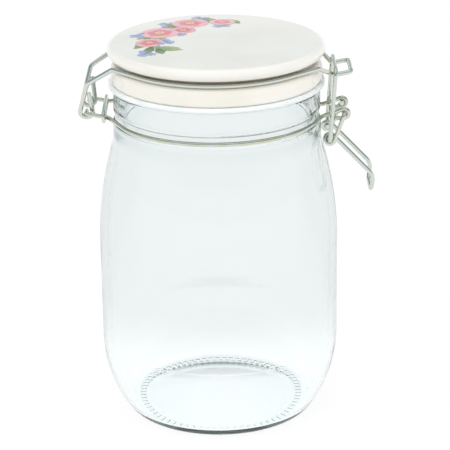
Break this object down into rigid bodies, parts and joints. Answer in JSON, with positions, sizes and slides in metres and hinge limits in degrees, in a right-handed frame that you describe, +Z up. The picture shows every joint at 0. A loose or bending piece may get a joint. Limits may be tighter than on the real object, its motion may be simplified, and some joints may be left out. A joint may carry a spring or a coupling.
{
  "type": "clip-top storage jar",
  "caption": "Empty round glass storage jar with a domed ceramic lid, a clear soft seal and a hinged wire bail whose lever clamps the lid down.",
  "frame": {"origin": "centre of the jar's foot, on the plane it stands on", "axes": "+Z up along the jar's axis, +X from the hinge towards the latch, +Y to the back"},
  "size_m": [0.1337, 0.11, 0.1771],
  "materials": {
    "clear_glass": "clear, smooth, with a faint blue-green tint",
    "lid_glaze": "glossy off-white glaze",
    "seal_silicone": "soft, milky and translucent",
    "zinc_wire": "bright zinc plating"
  },
  "bodies": {
    "jar": {"jar_glass": "clear_glass", "neck_wire": "zinc_wire", "ring_clip": "zinc_wire"},
    "lid": {"lid_ceramic": "lid_glaze", "seal": "seal_silicone", "lid_wire": "zinc_wire"},
    "lever": {"lever": "zinc_wire"},
    "link": {"link": "zinc_wire"}
  },
  "joints": [
    {"name": "lid_hinge", "type": "hinge", "parent": "jar", "child": "lid", "pos_m": [-0.0584, 0, 0.1461], "axis": [0, -1, 0], "range_deg": [0, 120]},
    {"name": "lever_pivot", "type": "hinge", "parent": "jar", "child": "lever", "pos_m": [0.0571, 0, 0.1436], "axis": [0, -1, 0], "range_deg": [0, 95]},
    {"name": "link_pivot", "type": "hinge", "parent": "lever", "child": "link", "pos_m": [0.0507, 0, 0.1321], "axis": [0, 1, 0], "range_deg": [0, 270.1]}
  ],
  "couplings": [
    {"joint": "lever_pivot", "follows": "lid_hinge", "ratio": 0.79},
    {"joint": "link_pivot", "follows": "lid_hinge", "ratio": 2.25}
  ]
}
